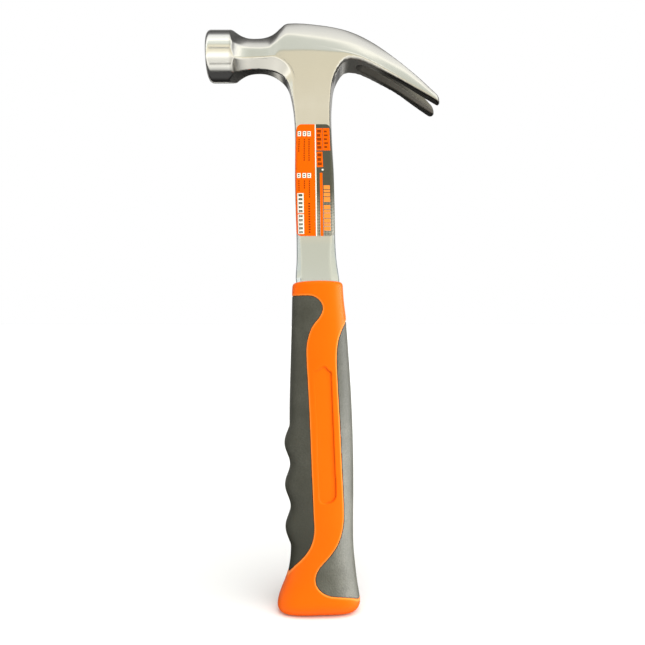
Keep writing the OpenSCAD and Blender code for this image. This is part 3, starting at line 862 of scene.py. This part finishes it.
def weave(material):
    """Fine diagonal check low on the dark panel."""
    nodes, links = material.node_tree.nodes, material.node_tree.links
    shade = nodes["Principled BSDF"].inputs["Base Color"]
    plain = shade.links[0].from_socket
    turn = nodes.new("ShaderNodeMapping")
    turn.inputs["Rotation"].default_value = (0, math.radians(45), 0)
    turn.inputs["Location"].default_value = (0, WEAVE_CELL / 2, 0)
    place = nodes.new("ShaderNodeTexCoord").outputs["Object"]
    flat = nodes.new("ShaderNodeVectorMath")
    flat.operation = "MULTIPLY"
    flat.inputs[1].default_value = (1, 0, 1)
    links.new(place, flat.inputs[0])
    links.new(flat.outputs[0], turn.inputs[0])
    check = nodes.new("ShaderNodeTexChecker")
    check.inputs["Scale"].default_value = 1 / WEAVE_CELL
    links.new(turn.outputs[0], check.inputs["Vector"])
    split = nodes.new("ShaderNodeSeparateXYZ")
    links.new(place, split.inputs[0])
    fade = math_node(nodes, links, "MULTIPLY_ADD", split.outputs["Z"],
                     -1 / WEAVE_FADE, WEAVE_TOP / WEAVE_FADE)
    amount = math_node(nodes, links, "MULTIPLY", check.outputs["Fac"], fade)
    amount.node.use_clamp = True
    links.new(mixed(nodes, links, amount, plain, WEAVE_INK), shade)


def label_inks():
    """The label's inks, in the order of their numbers."""
    dark = ink_material("dark_ink", (0.052, 0.052, 0.036, 1))
    weave(dark)
    return [
        ink_material("orange_ink", (0.80, 0.105, 0.001, 1), (1, 0.45, 0.08, 1)),
        dark,
        ink_material("white_ink", (0.75, 0.74, 0.68, 1)),
        ink_material("red_ink", (0.22, 0.030, 0.002, 1), (1, 0.45, 0.08, 1)),
        ink_material("pale_ink", (0.80, 0.24, 0.03, 1)),
    ]


def vertex_places(piece):
    """X, Y and Z of a piece's vertices, in mm."""
    place = np.empty(len(piece.data.vertices) * 3, np.float32)
    piece.data.vertices.foreach_get("co", place)
    return place.reshape(-1, 3).T / MM


def store(piece, **shares):
    """Store shares from 0 to 1 on a piece's vertices, under their names."""
    for name, value in shares.items():
        layer = piece.data.attributes.new(name, "FLOAT", "POINT")
        layer.data.foreach_set("value", value.astype(np.float32))


def set_polish(piece):
    """Low polish on the claw's underside and in the nail slot, which are left as forged and darkened
    further as painted shade, darkest toward the tips; a turned bell, a duller foot of the shank, and
    painted black shade under the claw's tips, stored as "scale"."""
    x, y, z = vertex_places(piece)
    low = along(low_path, LOW_CLOSE, x, z)[0]
    under = np.clip((low + 0.9) / 0.5, 0, 1) * np.clip((x - 9) / 6, 0, 1)
    beside = beside_slot(x, y)
    walls = beside < 0.5
    walls |= (beside < curve(SLOT_BEVEL_WIDE, x) + 0.3) & (low > -curve(SLOT_BEVEL_DEEP, x) - 0.3)
    worn = 0.05 + 0.1 * np.clip((x - 34) / 20, 0, 1)
    rough_and_shaded_wall = np.where(walls & (x > SLOT_START - 5), 1 - worn, 0)
    # The underside's polish falls from 0.2 to none toward the tips: painted shade
    polish = 1 - np.maximum(under * np.clip(0.8 + (x - 26) / 50, 0.8, 1), rough_and_shaded_wall)
    dull = np.clip((DULL_Z - z) / 10, 0, 1)
    turned = np.clip(-50.5 - x, 0, 1)
    # "scale" here is painted black shade under the claw's tips
    scale = np.where(walls, 0, under * np.clip((x - 28) / 10, 0, 1))
    store(piece, polish=polish, turned=turned, dull=dull, scale=scale)


def set_painted_edge_light(piece):
    """Where the plastic gets a painted highlight along its lip round the pads, and painted shade on
    the wall of the sunk panel, stronger toward the claw side.
    """
    x, _, z = vertex_places(piece)
    from_pads = np.minimum(front_side(x, z), rear_side(x, z))
    # Painted highlight along the lip round the pads
    lip = 0.7 * np.exp(-((from_pads - 0.25) / 0.4) ** 2)
    # Painted shade along the panel's wall, weaker away from the claw side
    groove = 0.6 * np.exp(-((panel_side(x, z) + 0.25) / 0.35) ** 2)
    groove = groove * np.clip((x - 0.5) / 3, 0.15, 1)
    store(piece, lip=lip, groove=groove)


# ---------------------------------------------------------------- camera, light, stage


def make_camera():
    """Level, close in front, at about half of the hammer's height, as in the photograph."""
    camera = bpy.data.objects.new("camera", bpy.data.cameras.new("camera"))
    camera.data.sensor_width = 36
    camera.data.lens = 33.4047
    camera.location = (0, -0.340, 0.1627)
    camera.rotation_euler = (math.radians(90), 0, 0)
    camera.data.clip_start = 0.01
    bpy.context.scene.collection.objects.link(camera)
    bpy.context.scene.camera = camera


def area_light(name, place, target, size, power):
    """Rectangular light at a place, aimed at a target."""
    light = bpy.data.lights.new(name, "AREA")
    light.shape = "RECTANGLE"
    light.size, light.size_y = size
    light.energy = power
    obj = bpy.data.objects.new(name, light)
    obj.location = place
    aim = Vector(target) - Vector(place)
    obj.rotation_euler = aim.to_track_quat("-Z", "Y").to_euler()
    bpy.context.scene.collection.objects.link(obj)
    return obj


# How bright the studio is in the mirror of the steel, by the angle above the front
# horizon in degrees: front 0, overhead 90, back 180 and -180, straight down -90.
STUDIO = [
    (-180, 0.06), (-177, (0.50, 0.50, 0.47)), (-172, (0.86, 0.84, 0.79)),
    (-168, (0.40, 0.40, 0.37)), (-164, 0.03), (-150, (0.010, 0.010, 0.009)), (-117, 0.07),
    (-96, 0.065), (-87, 0.04), (-76, (0.70, 0.70, 0.66)), (-62, (1.06, 1.05, 0.98)),
    (-48, (0.92, 0.91, 0.85)), (-34, (0.86, 0.85, 0.78)), (-27, (1.02, 1.01, 0.93)),
    (-18, (1.40, 1.38, 1.26)), (-8, (1.30, 1.29, 1.17)), (3, (0.96, 0.90, 0.71)),
    (27, (0.96, 0.90, 0.70)), (31, (0.64, 0.63, 0.52)), (37, (0.80, 0.85, 0.78)),
    (45, (0.84, 0.88, 0.82)), (54, (1.40, 1.40, 1.28)), (64, (1.06, 1.07, 1.03)),
    (78, (0.93, 0.94, 0.93)), (92, 0.2), (110, 0.09), (122, 0.12), (136, 0.4), (158, 0.55),
    (167, 0.06), (180, 0.06),
]
# Share of that brightness kept toward the sides, by the sine of the angle to the right
SIDES = [(-1, 1.15), (-0.85, 1.12), (-0.6, 1), (-0.3, 1), (0, 1), (0.4, 1.08), (0.7, 1.12),
         (0.9, 1.26), (1, 1.1)]
# Soft window in the dark behind the object on the right. Its score is highest where the
# direction points back and to the right, at the height WINDOW_LEVEL.
WINDOW_LEVEL = 0.05
BACK_WINDOW = [(0.44, 0.0), (0.53, 0.35)]


def make_world():
    """Light tent: bright in front, dark behind and below, and plain white to the camera."""
    world = bpy.data.worlds.new("studio")
    bpy.context.scene.world = world
    world.use_nodes = True
    nodes, links = world.node_tree.nodes, world.node_tree.links
    split = nodes.new("ShaderNodeSeparateXYZ")
    links.new(nodes.new("ShaderNodeTexCoord").outputs["Generated"], split.inputs[0])
    front = math_node(nodes, links, "MULTIPLY", split.outputs["Y"], -1)
    angle = math_node(nodes, links, "ARCTAN2", split.outputs["Z"], front)
    turn = math_node(nodes, links, "MULTIPLY_ADD", angle, 0.5 / math.pi, 0.5)
    around = ramp_node(nodes, STUDIO, -180, 180)
    links.new(turn, around.inputs[0])
    across = ramp_node(nodes, SIDES, -1, 1)
    half = math_node(nodes, links, "MULTIPLY_ADD", split.outputs["X"], 0.5, 0.5)
    links.new(half, across.inputs[0])
    tent = nodes.new("ShaderNodeVectorMath")
    tent.operation = "MULTIPLY"
    links.new(around.outputs[0], tent.inputs[0])
    links.new(across.outputs[0], tent.inputs[1])
    window = ramp_node(nodes, BACK_WINDOW, 0, 1)
    level = math_node(nodes, links, "SUBTRACT", split.outputs["Z"], WINDOW_LEVEL)
    level = math_node(nodes, links, "ABSOLUTE", level)
    back = math_node(nodes, links, "MULTIPLY", split.outputs["Y"], 0.5)
    back = math_node(nodes, links, "MULTIPLY_ADD", split.outputs["X"], 0.25, back)
    back = math_node(nodes, links, "MULTIPLY_ADD", level, -0.5, back)
    links.new(back, window.inputs[0])
    both_parts = nodes.new("ShaderNodeVectorMath")
    both_parts.operation = "ADD"
    links.new(tent.outputs[0], both_parts.inputs[0])
    links.new(window.outputs[0], both_parts.inputs[1])
    seen = nodes.new("ShaderNodeMix")
    seen.data_type = "RGBA"
    links.new(nodes.new("ShaderNodeLightPath").outputs["Is Camera Ray"], seen.inputs["Factor"])
    links.new(both_parts.outputs[0], seen.inputs[6])
    seen.inputs[7].default_value = (1, 1, 1, 1)
    links.new(seen.outputs[2], nodes["Background"].inputs["Color"])


def flag(name, place, aim, width, height, grey):
    """Thin card that only shows as a darker line in the steel."""
    bpy.ops.mesh.primitive_plane_add(size=1)
    card = bpy.context.object
    card.name = name
    card.scale = (width, height, 1)
    card.location = place
    card.rotation_euler = (Vector(aim) - Vector(place)).to_track_quat("Z", "Y").to_euler()
    material = new_material(name, Base_Color=(grey, grey, 0.93 * grey, 1), Roughness=1.0)[0]
    card.data.materials.append(material)
    card.visible_camera = card.visible_diffuse = card.visible_shadow = False


def make_stage():
    """Pale floor, soft light from above, and the cards that line the bell."""
    bpy.ops.mesh.primitive_plane_add(size=60)
    floor = bpy.context.object
    floor.name = "floor"
    pale = (0.93, 0.93, 0.93, 1)
    material = new_material("floor", Base_Color=pale, Roughness=0.9, Specular_IOR_Level=0)[0]
    floor.data.materials.append(material)
    floor.visible_glossy = False
    sun = bpy.data.lights.new("overhead", "SUN")
    sun.energy = 2.6
    sun.angle = math.radians(70)
    overhead = bpy.data.objects.new("overhead", sun)
    overhead.rotation_euler = (math.radians(38), 0, math.radians(28))
    overhead.visible_glossy = False
    bpy.context.scene.collection.objects.link(overhead)
    bell = (-0.057, -0.012, BELL_Z * MM)
    flag("upper_flag", (-0.125, -0.393, 0.418), bell, 0.10, 0.055, 0.5)
    flag("lower_flag", (-0.104, -0.193, 0.072), bell, 0.08, 0.035, 0.3)
    bpy.context.scene.view_settings.view_transform = "Standard"


# ---------------------------------------------------------------- put together

make_camera()
make_world()
make_stage()

steel, orange = steel_material(), orange_material()
front_rubber_painted_shade = rubber_material("front_rubber_painted_shade", "Z", FRONT_DUST_AND_SHADE, 0, 200)
rear_rubber_painted_sheen = rubber_material("rear_rubber_painted_sheen", "X", REAR_DUST_AND_SHEEN, -10, 30)
forging_piece = make_forging()
set_polish(forging_piece)
label_piece = make_label(label_inks())
core_piece, front_piece, rear_piece = make_grip()
set_painted_edge_light(core_piece)
for piece, node, slot, material in (
    (forging_piece, "hammer_forging", "steel", steel),
    (core_piece, "grip_core", "grip_plastic", orange),
    (front_piece, "front_grip_pad", "grip_rubber", front_rubber_painted_shade),
    (rear_piece, "rear_grip_pad", "grip_rubber", rear_rubber_painted_sheen),
    (label_piece, "shank_label", "label_film", None),
):
    if material:
        piece.data.materials.append(material)
    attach(piece, "root")
    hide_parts(node)

# These lights give the grip and the label their sheen from the right, and leave the steel alone.
strip = area_light("right_strip", (0.42, -0.02, 0.05), (0, 0, 0.09), (0.44, 0.50), 3.4)
side_card = area_light(
    "side_card", (0.085, -0.075, 0.045), (0.013, -0.010, 0.03), (0.05, 0.08), 0.18)
side_card.visible_camera = False
lit_by = {strip: (core_piece, rear_piece, label_piece), side_card: (rear_piece,)}
for light, pieces in lit_by.items():
    lit = bpy.data.collections.new(light.name)
    for piece in pieces:
        lit.objects.link(piece)
    light.light_linking.receiver_collection = lit
